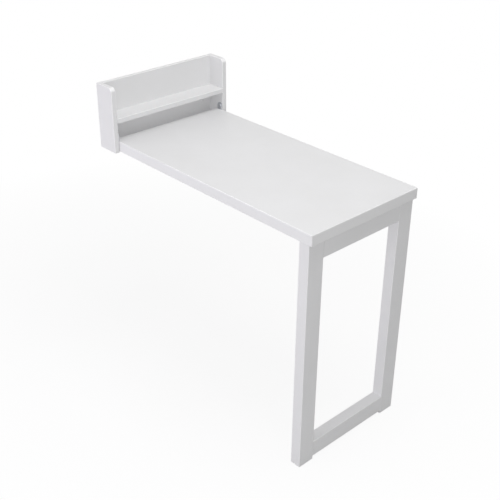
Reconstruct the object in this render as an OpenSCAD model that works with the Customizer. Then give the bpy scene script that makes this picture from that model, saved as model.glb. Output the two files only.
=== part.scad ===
// Wall-hung folding table.
// A small rack hangs on the wall. The tabletop turns on two offset pivots between the rack's
// side panels, from level to upright in front of the shelf. A leg frame carries the free end
// and folds flat against the underside on two butt hinges.
// The origin is on the wall, midway between the two screw holes of the back panel.
// X runs along the wall, Z is up, and the table reaches out towards -Y.

/* [Tabletop] */
// Height of the tabletop's upper face above the floor
table_h = 730; // [660:1:745]
// Length of the tabletop, edge bands included
top_len = 800; // [785:1:1000]
// Width of the tabletop, edge bands included
top_w = 398.4; // [340:0.2:600]
// Thickness of the tabletop
top_t = 31; // [27:0.5:36]
// Thickness of the edge bands
band_t = 2; // [1:0.2:2.6]
// Radius of the bands' outer edges
band_round = 2; // [0.4:0.1:2]
// Distance from the wall to the tabletop's rear edge
rear_y = 46; // [44:0.5:48]

/* [Rack] */
// Depth of the rack from the wall
rack_d = 72; // [70:0.5:80]
// Height of the rack
rack_h = 196; // [180:1:260]
// Thickness of the side panels
side_t = 15; // [14:0.5:22]
// Thickness of the back panel
back_t = 12; // [11.5:0.5:15]
// Thickness of the shelf
shelf_t = 15; // [14:0.5:20]
// How far the rack reaches below the tabletop's underside
rack_drop = 2; // [0:0.5:12]
// Free height between the tabletop and the shelf
bay_h = 55; // [48:1:70]
// Radius of the side panels' upper front corner
corner_r = 10; // [4:0.5:16]
// Radius of the boards' and posts' edges
board_round = 1.5; // [0.4:0.1:2.5]

/* [Leg frame] */
// Width of a post, seen from the front
post_w = 53; // [40:1:70]
// Depth of the posts and rails
post_d = 33; // [26:1:38]
// Height of the top rail
top_rail_h = 53; // [44:1:80]
// Height of the bottom rail
bottom_rail_h = 52; // [40:1:80]
// Height of the bottom rail above the floor
foot_h = 11; // [6:1:40]
// How far the frame stands back from the free end
leg_inset = 10; // [4:0.5:16]
// How far each post stands in from the tabletop's long edge
leg_side = 2; // [0:0.5:20]

/* [Pivots] */
// Distance of the pivot axis behind the rack's front
pivot_back = 12; // [11:0.5:14]
// How much higher than that distance the axis lies over the tabletop, so the raised top clears
pivot_lift = 0.5; // [0.4:0.1:2]
// Thickness of the pivot plates
plate_t = 3; // [2:0.5:4]
// Radius of the pivot pins
pin_r = 4; // [3:0.25:5]
// Wall of the pivot bushes
bush_wall = 2; // [1:0.25:3]
// Depth of the bushes in the side panels
bush_l = 10.5; // [8:0.5:11.5]

/* [Leg hinges] */
// Width of a hinge
hinge_w = 50; // [40:1:70]
// Distance from the middle of a hinge to the end of the top rail
hinge_in = 50; // [30:1:85]
// Length of a leaf from the axis
leaf_l = 26; // [24:1:32]
// Thickness of a leaf
leaf_t = 1.5; // [1.2:0.1:2]
// Outer radius of the knuckles
knuckle_r = 3; // [2.8:0.1:4]
// Radius of the hinge pins
hinge_pin_r = 1.5; // [1.2:0.05:1.8]

/* [Fixings] */
// Distance between the two wall screw holes
hole_gap = 330; // [200:1:334]
// Radius of the wall screw holes
hole_r = 2.75; // [2:0.25:3.5]
// Height of the wall screw holes above the tabletop
hole_over_top = 28; // [20:1:34]
// Radius of the frame dowels
dowel_r = 5; // [4:0.25:6]
// Length of the frame dowels
dowel_l = 50; // [40:1:60]
// Radius of a foot glide
glide_r = 12; // [8:0.5:13]
// Height of a foot glide's disc
glide_h = 1.5; // [1:0.5:4]

/* [Hidden] */

$fn = 48;
WHITE = [0.93, 0.93, 0.94];
STEEL = [0.72, 0.73, 0.75];
NYLON = [0.86, 0.86, 0.84];
BEECH = [0.80, 0.66, 0.48];

// Clearances
top_gap = 0.8;       // tabletop to each side panel
run_gap = 0.05;      // pin in bush or knuckle, on the radius
part_gap = 0.3;      // pieces that move past each other
fit_gap = 0.1;       // screw, dowel or plate in its hole or pocket
blind_gap = 0.5;     // end of a dowel, pin or stem to the bottom of its hole
cut = 1;             // how far a cutting shape runs past a face

// Heights and main faces
floor_z = -(table_h + hole_over_top);
top_z = floor_z + table_h;
under_z = top_z - top_t;
free_y = -(rear_y + top_len);
inner_w = top_w + 2 * top_gap;
rack_z0 = under_z - rack_drop;
rack_z1 = rack_z0 + rack_h;
shelf_z0 = top_z + bay_h;
shelf_z1 = shelf_z0 + shelf_t;
shelf_mid_y = -(rack_d + back_t) / 2;

edge_r = min(band_round, band_t);

// Pivot axis and plate
pivot_y = -(rack_d - pivot_back);
pivot_over = pivot_back + pivot_lift;
pivot_z = top_z + pivot_over;
plate_r = 9.5;                // half the plate's width, and the radius of its round ends
plate_drop = 26;              // how far it reaches down the tabletop's edge
plate_screw_drop = [6.5, 17.5];
plate_screw_r = 2;
plate_screw_l = 16;
plate_head_h = 2;
rivet_r = 6.5;
rivet_h = 2;
rivet_round = 1.2;            // edge of the rivet's head
bush_r = pin_r + bush_wall;
pin_l = plate_t + top_gap + bush_l - blind_gap;
washer_t = top_gap - part_gap;
washer_r = 8;

// Leg frame
frame_w = top_w - 2 * leg_side;
rail_l = frame_w - 2 * post_w;
post_mid_x = (rail_l + post_w) / 2;
leg_front_y = free_y + leg_inset;
leg_in_y = leg_front_y + post_d;
leg_mid_y = (leg_front_y + leg_in_y) / 2;
leg_top_z = under_z - part_gap;
leg_low_z = floor_z + glide_h;
top_rail_z = leg_top_z - top_rail_h;
bottom_rail_z = floor_z + foot_h;
dowel_gap = 26;               // between the two dowels of a joint
glide_stem_r = 2;
glide_stem_l = 14;
glide_round = 0.9;            // lower edge of the disc

// Leg hinges: the axis lies off the underside and off the rail by the same distance
hinge_off = knuckle_r + part_gap;
hinge_x = rail_l / 2 - hinge_in;
hinge_y = leg_in_y + hinge_off;
hinge_z = under_z - hinge_off;
knuckle_l = (hinge_w - 2 * part_gap) / 3;
leaf_screw_in = 8;            // outer screws from the leaf's ends
leaf_rows = [16, 20];         // outer and middle screws from the axis
leaf_screws = [[leaf_screw_in - hinge_w / 2, leaf_rows[0]], [0, leaf_rows[1]],
               [hinge_w / 2 - leaf_screw_in, leaf_rows[0]]];
leaf_screw_r = 1.75;
leaf_head_r = 3.2;
leaf_screw_l = 14;
leaf_round = 2.5;             // free corners of a leaf

// Cam fittings: cam radius, cam height and bolt radius, in the shelf and in the back panel
shelf_cam = [7.5, 12, 3];
back_cam = [6, 8.8, 2];
cam_in = 24;                  // cam centre from the board's end
cam_cross = [7, 1.2, 1.2];    // driver cross: length, width and depth
bolt_play = 0.3;              // bolt in the board's passage
bolt_thread_l = 10;           // bolt in the side panel
bolt_stop = 2;                // bolt's tip from the cam's centre
back_cam_low = 22;            // lower cams above the rack's lower edge
back_cam_high = 55;           // upper cams below the rack's upper edge
back_cam_z = [rack_z0 + back_cam_low, rack_z1 - back_cam_high];

// Dowels and screws of the rack
rack_dowel_r = 3;
rack_dowel_in = 9;            // in the side panel
rack_dowel_out = 18;          // in the shelf or back panel
shelf_dowel_gap = 38;
shelf_dowel_y = [shelf_mid_y - shelf_dowel_gap / 2, shelf_mid_y + shelf_dowel_gap / 2];
back_dowel_z = (back_cam_z[0] + back_cam_z[1]) / 2;
shelf_screw_x = 100;
shelf_screw_r = 2;
shelf_screw_l = 40;
shelf_head_h = 2;
wall_sink_r = 5;              // countersink at the wall screw holes
wall_sink_h = 2.5;

// Keyhole hangers in the rear of the back panel
hanger_x = 150;
hanger_drop = 24;             // centre below the rack's upper edge
hanger_z = rack_z1 - hanger_drop;
hanger_size = [56, 2, 22];
hanger_round = 2;             // corners of the plate
keyhole_r = 4.5;
keyhole_slot = 4.6;
keyhole_rise = 8;
relief_depth = 7;             // room for the wall screw's head behind the plate
relief_grow = 1;
hanger_screw_x = 21;
hanger_screw_r = 1.5;
hanger_screw_l = 9;
hanger_head_h = 1.5;

// Copies a piece to both sides of the middle
module both_sides() {
    children();
    mirror([1, 0, 0]) children();
}

// Extrudes an outline drawn in Y and Z along X, from x
module along_x(x, length) {
    translate([x, 0, 0]) rotate([90, 0, 90]) linear_extrude(length) children();
}

// Rectangle from p to q with rounded corners
module rounded(p, q, r) {
    union() {
        for (x = [p.x + r, q.x - r], y = [p.y + r, q.y - r]) translate([x, y]) circle(r = r);
        translate([p.x + r, p.y]) square([q.x - p.x - 2 * r, q.y - p.y]);
        translate([p.x, p.y + r]) square([q.x - p.x, q.y - p.y - 2 * r]);
    }
}

// Rectangle from p to q whose two corners at low x are rounded
module nosed(p, q, r) {
    intersection() {
        rounded(p, [q.x + 2 * r, q.y], r);
        translate(p) square([q.x - p.x, q.y - p.y]);
    }
}

// What a round of radius r takes off a corner at the origin, with the solid towards +x and +y
module nick(r) {
    difference() {
        translate([-cut, -cut]) square(r + cut);
        translate([r, r]) circle(r = r);
    }
}

// Cylinder along X from x, on the line y, z
module rod_x(x, y, z, r, length) {
    translate([x, y, z]) rotate([0, 90, 0]) cylinder(r = r, h = length);
}

// Disc that stands on z = 0, with its lower edge rounded
module round_disc(r, height, edge) {
    rotate_extrude() difference() {
        square([r, height]);
        translate([r, 0]) mirror([1, 0]) nick(edge);
    }
}

// Countersunk screw with its head flush at z = 0, pointing down
module screw(r, length, head_r, head_h) {
    union() {
        translate([0, 0, -head_h]) cylinder(r1 = r, r2 = head_r, h = head_h);
        translate([0, 0, -length]) cylinder(r = r, h = length - head_h);
    }
}

// The hole that such a screw fills
module screw_hole(r, length, head_r, head_h) {
    union() {
        translate([0, 0, -head_h]) cylinder(r1 = r + fit_gap, r2 = head_r + fit_gap, h = head_h);
        translate([0, 0, -fit_gap]) cylinder(r = head_r + fit_gap, h = fit_gap + cut);
        translate([0, 0, -length - fit_gap]) cylinder(r = r + fit_gap, h = length);
    }
}

function head_r(r) = 2 * r;

// Places on the rack where a cam bolt or a dowel enters the right side panel: y, z
function shelf_bolt_spots() = [[shelf_mid_y, (shelf_z0 + shelf_z1) / 2]];
function back_bolt_spots() = [for (z = back_cam_z) [-back_t / 2, z]];
function dowel_spots() = concat(
    [for (y = shelf_dowel_y) [y, (shelf_z0 + shelf_z1) / 2]], [[-back_t / 2, back_dowel_z]]);

// Rack

// Rounds one face of the side panel along its lower, front and upper edges
module panel_edge_cut() {
    translate([0, cut, rack_z0]) rotate([90, 0, 0]) linear_extrude(rack_d + 2 * cut) nick(board_round);
    translate([0, -rack_d, rack_z0 - cut]) linear_extrude(rack_h - corner_r + cut) nick(board_round);
    translate([0, -rack_d + corner_r, rack_z1 - corner_r]) rotate([0, 90, 0]) rotate([0, 0, 180])
        rotate_extrude(angle = 90) translate([corner_r, 0]) rotate([0, 0, 90]) nick(board_round);
    translate([0, -rack_d + corner_r, rack_z1]) rotate([-90, 0, 0])
        linear_extrude(rack_d - corner_r + cut) nick(board_round);
}

module side_panel_blank() {
    difference() {
        translate([inner_w / 2, -rack_d, rack_z0]) cube([side_t, rack_d, rack_h]);
        along_x(inner_w / 2 - cut, side_t + 2 * cut) difference() {
            translate([-rack_d - cut, rack_z1 - corner_r]) square([corner_r + cut, corner_r + cut]);
            translate([-rack_d + corner_r, rack_z1 - corner_r]) circle(r = corner_r);
        }
        translate([inner_w / 2, 0, 0]) panel_edge_cut();
        translate([inner_w / 2 + side_t, 0, 0]) mirror([1, 0, 0]) panel_edge_cut();
    }
}

module side_panel() {
    color(WHITE) difference() {
        side_panel_blank();
        rod_x(inner_w / 2 - cut, pivot_y, pivot_z, bush_r, bush_l + cut);
        for (s = shelf_bolt_spots())
            rod_x(inner_w / 2 - cut, s.x, s.y, shelf_cam[2] + fit_gap, bolt_thread_l + cut);
        for (s = back_bolt_spots())
            rod_x(inner_w / 2 - cut, s.x, s.y, back_cam[2] + fit_gap, bolt_thread_l + cut);
        for (s = dowel_spots())
            rod_x(inner_w / 2 - cut, s.x, s.y, rack_dowel_r + fit_gap, rack_dowel_in + cut);
    }
}

module side_panel_left() { mirror([1, 0, 0]) side_panel(); }
module side_panel_right() { side_panel(); }

// Cam pocket and bolt passage at the right end of a board, seen with the pocket's mouth at z = 0
module cam_space(cam, mid) {
    translate([-cam_in, 0, -cut]) cylinder(r = cam[0] + fit_gap, h = cam[1] + fit_gap + cut);
    rod_x(-cam_in, 0, mid, cam[2] + bolt_play, cam_in + cut);
}

// Cam disc with its bolt slot and a cross for the driver
module cam_disc(cam, mid) {
    difference() {
        translate([-cam_in, 0, 0]) cylinder(r = cam[0], h = cam[1]);
        rod_x(-cam_in, 0, mid, cam[2] + bolt_play, cam_in);
        translate([-cam_in, 0, 0]) for (a = [0, 90]) rotate([0, 0, a])
            translate([-cam_cross[0] / 2, -cam_cross[1] / 2, -cut])
                cube([cam_cross[0], cam_cross[1], cam_cross[2] + cut]);
    }
}

// Bolt from the side panel into the cam
module cam_bolt(cam, mid) {
    rod_x(bolt_stop - cam_in, 0, mid, cam[2], cam_in - bolt_stop + bolt_thread_l - blind_gap);
}

module at_shelf_cam() {
    translate([inner_w / 2, shelf_mid_y, shelf_z0]) children();
}

module at_back_cams() {
    for (z = back_cam_z) translate([inner_w / 2, 0, z]) rotate([90, 0, 0]) children();
}

module rack_shelf() {
    color(WHITE) difference() {
        along_x(-inner_w / 2, inner_w) nosed([-rack_d, shelf_z0], [-back_t, shelf_z1], board_round);
        both_sides() at_shelf_cam() cam_space(shelf_cam, shelf_t / 2);
        both_sides() for (y = shelf_dowel_y)
            rod_x(inner_w / 2 - rack_dowel_out - blind_gap, y, (shelf_z0 + shelf_z1) / 2,
                  rack_dowel_r + fit_gap, rack_dowel_out + blind_gap + cut);
        at_shelf_screws() screw_hole(shelf_screw_r, shelf_screw_l, head_r(shelf_screw_r), shelf_head_h);
    }
}

module at_shelf_screws() {
    both_sides() translate([shelf_screw_x, 0, (shelf_z0 + shelf_z1) / 2]) rotate([-90, 0, 0]) children();
}

module hanger_keyhole(depth, grow) {
    rotate([90, 0, 0]) translate([0, 0, -cut]) linear_extrude(depth + cut) union() {
        circle(r = keyhole_r + grow);
        translate([-keyhole_slot / 2 - grow, 0]) square([keyhole_slot + 2 * grow, keyhole_rise]);
        translate([0, keyhole_rise]) circle(r = keyhole_slot / 2 + grow);
    }
}

// Outline of a hanger plate, seen from behind
module hanger_outline(grow) {
    far = [hanger_size.x / 2 + grow, hanger_size.z / 2 + grow];
    rounded(-far, far, hanger_round + grow);
}

module at_hangers() {
    both_sides() translate([hanger_x, 0, hanger_z]) children();
}

module at_hanger_screws() {
    at_hangers() for (x = [-hanger_screw_x, hanger_screw_x])
        translate([x, 0, 0]) rotate([-90, 0, 0]) children();
}

module back_panel() {
    color(WHITE) difference() {
        along_x(-inner_w / 2, inner_w) rounded([-back_t, rack_z0], [0, rack_z1], board_round);
        both_sides() translate([hole_gap / 2, 0, 0]) rotate([90, 0, 0]) {
            translate([0, 0, -cut]) cylinder(r = hole_r, h = back_t + 2 * cut);
            translate([0, 0, back_t - wall_sink_h])
                cylinder(r1 = hole_r, r2 = wall_sink_r, h = wall_sink_h);
            translate([0, 0, back_t]) cylinder(r = wall_sink_r, h = cut);
        }
        both_sides() at_back_cams() cam_space(back_cam, back_t / 2);
        both_sides() rod_x(inner_w / 2 - rack_dowel_out - blind_gap, -back_t / 2, back_dowel_z,
                           rack_dowel_r + fit_gap, rack_dowel_out + blind_gap + cut);
        at_shelf_screws() screw_hole(shelf_screw_r, shelf_screw_l, head_r(shelf_screw_r), shelf_head_h);
        at_hangers() {
            rotate([90, 0, 0]) translate([0, 0, -cut]) linear_extrude(hanger_size.y + cut)
                hanger_outline(fit_gap);
            hanger_keyhole(relief_depth, relief_grow);
        }
        at_hanger_screws()
            screw_hole(hanger_screw_r, hanger_screw_l, head_r(hanger_screw_r), hanger_head_h);
    }
}

module rack_cam_locks() {
    color(STEEL) both_sides() {
        at_shelf_cam() cam_disc(shelf_cam, shelf_t / 2);
        at_back_cams() cam_disc(back_cam, back_t / 2);
    }
}

module rack_cam_bolts() {
    color(STEEL) both_sides() {
        at_shelf_cam() cam_bolt(shelf_cam, shelf_t / 2);
        at_back_cams() cam_bolt(back_cam, back_t / 2);
    }
}

module rack_dowels() {
    color(BEECH) both_sides() for (s = dowel_spots())
        rod_x(inner_w / 2 - rack_dowel_out, s.x, s.y, rack_dowel_r,
              rack_dowel_in + rack_dowel_out - blind_gap);
}

module shelf_screws() {
    color(STEEL) at_shelf_screws()
        screw(shelf_screw_r, shelf_screw_l, head_r(shelf_screw_r), shelf_head_h);
}

module wall_hanger_plates() {
    color(STEEL) difference() {
        at_hangers() rotate([90, 0, 0]) linear_extrude(hanger_size.y) hanger_outline(0);
        at_hangers() hanger_keyhole(hanger_size.y + cut, 0);
        at_hanger_screws()
            screw_hole(hanger_screw_r, hanger_screw_l, head_r(hanger_screw_r), hanger_head_h);
    }
}

module wall_hanger_screws() {
    color(STEEL) at_hanger_screws()
        screw(hanger_screw_r, hanger_screw_l, head_r(hanger_screw_r), hanger_head_h);
}

module pivot_bushes() {
    color(NYLON) both_sides() difference() {
        rod_x(inner_w / 2, pivot_y, pivot_z, bush_r, bush_l);
        rod_x(inner_w / 2 - cut, pivot_y, pivot_z, pin_r + run_gap, bush_l + 2 * cut);
    }
}

// Tabletop

// Outline of the pivot plate in Y and Z: a strap with round ends that rises past the tabletop
module plate_outline(grow) {
    low_z = top_z - plate_drop + plate_r;
    union() {
        for (z = [low_z, pivot_z]) translate([pivot_y, z]) circle(r = plate_r + grow);
        translate([pivot_y - plate_r - grow, low_z]) square([2 * (plate_r + grow), pivot_z - low_z]);
    }
}

module plate_pocket() {
    both_sides() along_x(top_w / 2 - plate_t, plate_t + cut) plate_outline(fit_gap);
}

module at_plate_screws() {
    for (drop = plate_screw_drop)
        translate([top_w / 2, pivot_y, top_z - drop]) rotate([0, 90, 0]) children();
}

module at_top_hinges() {
    for (x = [-hinge_x, hinge_x]) translate([x, hinge_y, under_z]) children();
}

module tabletop_board() {
    color(WHITE) difference() {
        translate([-top_w / 2 + band_t, free_y + band_t, under_z])
            cube([top_w - 2 * band_t, top_len - 2 * band_t, top_t]);
        plate_pocket();
        both_sides() at_plate_screws()
            screw_hole(plate_screw_r, plate_screw_l, head_r(plate_screw_r), plate_head_h);
        at_top_hinges() for (s = leaf_screws) translate([s.x, s.y, -leaf_t]) rotate([180, 0, 0])
            screw_hole(leaf_screw_r, leaf_screw_l, leaf_head_r, leaf_t);
    }
}

module edge_band_side() {
    color(WHITE) difference() {
        translate([0, -rear_y - band_t, 0]) rotate([90, 0, 0]) linear_extrude(top_len - 2 * band_t)
            mirror([1, 0]) nosed([-top_w / 2, under_z], [-top_w / 2 + band_t, top_z], edge_r);
        plate_pocket();
        at_plate_screws() screw_hole(plate_screw_r, plate_screw_l, head_r(plate_screw_r), plate_head_h);
    }
}

module edge_band_left() { mirror([1, 0, 0]) edge_band_side(); }
module edge_band_right() { edge_band_side(); }

// Band across an end, rounded along its length and at both corners like the side bands
module edge_band_end() {
    translate([0, 0, (top_z + under_z) / 2]) difference() {
        translate([-top_w / 2, 0, -top_t / 2]) cube([top_w, band_t, top_t]);
        for (low = [0, 1]) mirror([0, 0, low]) {
            along_x(-top_w / 2 - cut, top_w + 2 * cut) translate([0, -top_t / 2]) nick(edge_r);
            both_sides() translate([-top_w / 2, band_t + cut, -top_t / 2]) rotate([90, 0, 0])
                linear_extrude(band_t + 2 * cut) nick(edge_r);
        }
        both_sides() translate([-top_w / 2, 0, -top_t / 2 - cut]) linear_extrude(top_t + 2 * cut)
            nick(edge_r);
    }
}

module edge_band_free_end() {
    color(WHITE) translate([0, free_y, 0]) edge_band_end();
}

module edge_band_rear() {
    color(WHITE) translate([0, -rear_y, 0]) mirror([0, 1, 0]) edge_band_end();
}

module pivot_plate() {
    color(STEEL) difference() {
        along_x(top_w / 2 - plate_t, plate_t) plate_outline(0);
        rod_x(top_w / 2 - plate_t - cut, pivot_y, pivot_z, pin_r, plate_t + 2 * cut);
        at_plate_screws() screw_hole(plate_screw_r, plate_screw_l, head_r(plate_screw_r), plate_head_h);
    }
}

module pivot_plate_left() { mirror([1, 0, 0]) pivot_plate(); }
module pivot_plate_right() { pivot_plate(); }

module pivot_pins() {
    color(STEEL) both_sides() union() {
        translate([top_w / 2 - plate_t - rivet_h, pivot_y, pivot_z]) rotate([0, 90, 0])
            round_disc(rivet_r, rivet_h, rivet_round);
        rod_x(top_w / 2 - plate_t, pivot_y, pivot_z, pin_r, pin_l);
    }
}

module pivot_washers() {
    color(NYLON) both_sides() difference() {
        rod_x(top_w / 2, pivot_y, pivot_z, washer_r, washer_t);
        rod_x(top_w / 2 - cut, pivot_y, pivot_z, pin_r + run_gap, washer_t + 2 * cut);
    }
}

module pivot_plate_screws() {
    color(STEEL) both_sides() at_plate_screws()
        screw(plate_screw_r, plate_screw_l, head_r(plate_screw_r), plate_head_h);
}

// Leg hinges

// Plate of a leaf, from the axis towards +Y, with its free corners rounded
module leaf_plate() {
    linear_extrude(leaf_t) rotate(-90)
        nosed([-leaf_l, -hinge_w / 2], [0, hinge_w / 2], leaf_round);
}

// The leaf under the tabletop, with the two outer knuckles
module top_leaf() {
    difference() {
        union() {
            translate([0, 0, hinge_off - leaf_t]) leaf_plate();
            for (x = [-hinge_w / 2, hinge_w / 2 - knuckle_l])
                rod_x(x, 0, 0, knuckle_r, knuckle_l);
        }
        translate([-knuckle_l / 2 - part_gap, -cut, -cut])
            cube([knuckle_l + 2 * part_gap, hinge_off + cut, hinge_off + 2 * cut]);
        rod_x(-hinge_w / 2 - cut, 0, 0, hinge_pin_r, hinge_w + 2 * cut);
        translate([0, 0, hinge_off - leaf_t]) for (s = leaf_screws) translate([s.x, s.y, 0])
            rotate([180, 0, 0]) screw_hole(leaf_screw_r, leaf_screw_l, leaf_head_r, leaf_t);
    }
}

// The leaf on the rail, hanging from the middle knuckle
module rail_leaf() {
    difference() {
        union() {
            translate([0, -hinge_off, 0]) rotate([-90, 0, 0]) leaf_plate();
            rod_x(-knuckle_l / 2, 0, 0, knuckle_r, knuckle_l);
        }
        for (x = [-hinge_w / 2 - cut, knuckle_l / 2])
            translate([x, -hinge_off - cut, -hinge_off])
                cube([(hinge_w - knuckle_l) / 2 + cut, hinge_off + 2 * cut, hinge_off + cut]);
        rod_x(-hinge_w / 2 - cut, 0, 0, hinge_pin_r + run_gap, hinge_w + 2 * cut);
        translate([0, -hinge_off + leaf_t, 0]) for (s = leaf_screws) translate([s.x, 0, -s.y])
            rotate([-90, 0, 0]) screw_hole(leaf_screw_r, leaf_screw_l, leaf_head_r, leaf_t);
    }
}

module at_hinge(side) {
    translate([side * hinge_x, hinge_y, hinge_z]) children();
}

module top_hinge_leaf_left() { color(STEEL) at_hinge(-1) top_leaf(); }
module top_hinge_leaf_right() { color(STEEL) at_hinge(1) top_leaf(); }
module leg_hinge_leaf_left() { color(STEEL) at_hinge(-1) rail_leaf(); }
module leg_hinge_leaf_right() { color(STEEL) at_hinge(1) rail_leaf(); }

module leg_hinge_pins() {
    color(STEEL) for (side = [-1, 1]) at_hinge(side)
        rod_x(-hinge_w / 2, 0, 0, hinge_pin_r, hinge_w);
}

module top_hinge_screws() {
    color(STEEL) at_top_hinges() for (s = leaf_screws) translate([s.x, s.y, -leaf_t])
        rotate([180, 0, 0]) screw(leaf_screw_r, leaf_screw_l, leaf_head_r, leaf_t);
}

module at_rail_screws() {
    for (side = [-1, 1]) at_hinge(side) translate([0, -hinge_off + leaf_t, 0])
        for (s = leaf_screws) translate([s.x, 0, -s.y]) rotate([-90, 0, 0]) children();
}

module leg_hinge_screws() {
    color(STEEL) at_rail_screws() screw(leaf_screw_r, leaf_screw_l, leaf_head_r, leaf_t);
}

// Leg frame

// Centres of the dowels at the frame's right-hand joints: z
function frame_dowel_z() = [for (mid = [top_rail_z + top_rail_h / 2, bottom_rail_z + bottom_rail_h / 2])
    for (s = [-1, 1]) mid + s * dowel_gap / 2];

module dowel_holes() {
    both_sides() for (z = frame_dowel_z())
        rod_x((rail_l - dowel_l) / 2 - blind_gap, leg_mid_y, z, dowel_r + fit_gap,
              dowel_l + 2 * blind_gap);
}

module leg_post() {
    color(WHITE) difference() {
        translate([rail_l / 2, leg_front_y, leg_low_z]) linear_extrude(leg_top_z - leg_low_z)
            rounded([0, 0], [post_w, post_d], board_round);
        dowel_holes();
        translate([post_mid_x, leg_mid_y, leg_low_z - cut])
            cylinder(r = glide_stem_r + fit_gap, h = glide_stem_l + cut);
    }
}

module leg_post_left() { mirror([1, 0, 0]) leg_post(); }
module leg_post_right() { leg_post(); }

module rail(z, height) {
    difference() {
        along_x(-rail_l / 2, rail_l) rounded([leg_front_y, z], [leg_in_y, z + height], board_round);
        dowel_holes();
        at_rail_screws() screw_hole(leaf_screw_r, leaf_screw_l, leaf_head_r, leaf_t);
    }
}

module leg_top_rail() { color(WHITE) rail(top_rail_z, top_rail_h); }
module leg_bottom_rail() { color(WHITE) rail(bottom_rail_z, bottom_rail_h); }

module leg_dowels() {
    color(BEECH) both_sides() for (z = frame_dowel_z())
        rod_x(rail_l / 2 - dowel_l / 2, leg_mid_y, z, dowel_r, dowel_l);
}

module foot_glides() {
    color(NYLON) both_sides() translate([post_mid_x, leg_mid_y, floor_z]) union() {
        round_disc(glide_r, glide_h, glide_round);
        cylinder(r = glide_stem_r, h = glide_h + glide_stem_l - blind_gap);
    }
}

side_panel_left();
side_panel_right();
back_panel();
rack_shelf();
rack_cam_locks();
rack_cam_bolts();
rack_dowels();
shelf_screws();
wall_hanger_plates();
wall_hanger_screws();
pivot_bushes();
tabletop_board();
edge_band_left();
edge_band_right();
edge_band_free_end();
edge_band_rear();
pivot_plate_left();
pivot_plate_right();
pivot_pins();
pivot_washers();
pivot_plate_screws();
top_hinge_leaf_left();
top_hinge_leaf_right();
top_hinge_screws();
leg_hinge_pins();
leg_post_left();
leg_post_right();
leg_top_rail();
leg_bottom_rail();
leg_dowels();
foot_glides();
leg_hinge_leaf_left();
leg_hinge_leaf_right();
leg_hinge_screws();
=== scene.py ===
# %% [markdown]
# # A wall-hung folding table in white laminate
# A small rack hangs on the wall, a long tabletop turns between its side panels, and a leg frame
# on two butt hinges carries the free end. The CAD model is loaded first as a fixed frame. Every
# board and most fittings are then modelled over it with Blender's own tools, in metres, where the
# CAD says it is. The same could be done by dressing the CAD meshes with materials alone, but boards
# made here get the rounded arrises and band seams that catch the light on a real one.

# %% Load the frame
import math

import bmesh
import bpy
from mathutils import Euler, Matrix, Vector


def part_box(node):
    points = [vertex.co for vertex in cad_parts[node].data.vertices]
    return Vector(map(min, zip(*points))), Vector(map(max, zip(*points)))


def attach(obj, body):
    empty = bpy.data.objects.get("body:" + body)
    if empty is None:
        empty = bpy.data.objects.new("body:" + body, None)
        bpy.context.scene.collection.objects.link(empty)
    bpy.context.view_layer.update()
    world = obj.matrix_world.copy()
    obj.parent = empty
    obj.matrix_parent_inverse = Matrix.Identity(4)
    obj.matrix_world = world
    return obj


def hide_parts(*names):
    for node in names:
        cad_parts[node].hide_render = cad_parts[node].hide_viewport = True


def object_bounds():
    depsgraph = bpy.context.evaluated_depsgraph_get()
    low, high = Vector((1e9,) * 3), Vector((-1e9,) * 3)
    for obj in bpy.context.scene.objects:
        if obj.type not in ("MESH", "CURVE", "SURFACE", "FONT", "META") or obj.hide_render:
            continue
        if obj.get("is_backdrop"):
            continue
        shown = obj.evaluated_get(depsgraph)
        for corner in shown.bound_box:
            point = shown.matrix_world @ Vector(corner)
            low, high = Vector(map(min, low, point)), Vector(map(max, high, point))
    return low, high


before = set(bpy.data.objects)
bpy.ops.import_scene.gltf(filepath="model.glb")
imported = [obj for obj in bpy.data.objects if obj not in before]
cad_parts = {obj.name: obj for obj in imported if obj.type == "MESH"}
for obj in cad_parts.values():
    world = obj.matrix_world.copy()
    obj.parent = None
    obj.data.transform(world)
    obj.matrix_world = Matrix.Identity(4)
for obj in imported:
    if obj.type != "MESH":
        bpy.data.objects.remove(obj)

MM = 0.001
cad_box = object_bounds()
size = (cad_box[1] - cad_box[0]) / MM
print(f"CAD box {size.x:.1f} x {size.y:.1f} x {size.z:.1f} mm, {len(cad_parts)} nodes")

# %% [markdown]
# ## The camera
# The photograph looks down on the table from its free end and from the left. A camera could be
# moved by eye until the outline fits. Here its place, turn and focal length were solved from
# the table's straight edges, whose real lengths are known, so no shift of the lens is needed.

# %% Camera
IMAGE_WIDTH = 500        # pixels
FOCAL = 885.2            # pixels
SENSOR = 36.0            # mm
CAMERA_AT = Vector((-1.5488, -2.0822, 0.9575))
AZIMUTH, ELEVATION, ROLL = -42.949, 29.303, 0.462

scene = bpy.context.scene
camera = bpy.data.objects.new("camera", bpy.data.cameras.new("camera"))
scene.collection.objects.link(camera)
tilt = Euler((math.radians(90 - ELEVATION), 0, math.radians(AZIMUTH))).to_matrix()
turn = tilt @ Matrix.Rotation(math.radians(ROLL), 3, "Z")
camera.matrix_world = Matrix.Translation(CAMERA_AT) @ turn.to_4x4()
camera.data.sensor_width = SENSOR
camera.data.lens = FOCAL * SENSOR / IMAGE_WIDTH
scene.camera = camera
scene.view_settings.view_transform = "Standard"
print(f"camera lens {camera.data.lens:.2f} mm")

# %% [markdown]
# ## Helpers for working as by hand
# In Blender a modeller adds a primitive, goes into edit mode, selects some edges or faces and
# uses an operator on them. A script can do the same if it selects by place instead of by mouse.
# An operator acts on all that is selected, so each helper first leaves one object selected.

# %% Select one object, and leave its place in its mesh
def nothing_selected():
    """Goes to object mode and leaves no object selected."""
    if bpy.context.object and bpy.context.object.mode != "OBJECT":
        bpy.ops.object.mode_set(mode="OBJECT")
    bpy.ops.object.select_all(action="DESELECT")


def alone(piece):
    """Selects this object and nothing else, in object mode."""
    nothing_selected()
    piece.select_set(True)
    bpy.context.view_layer.objects.active = piece


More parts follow.
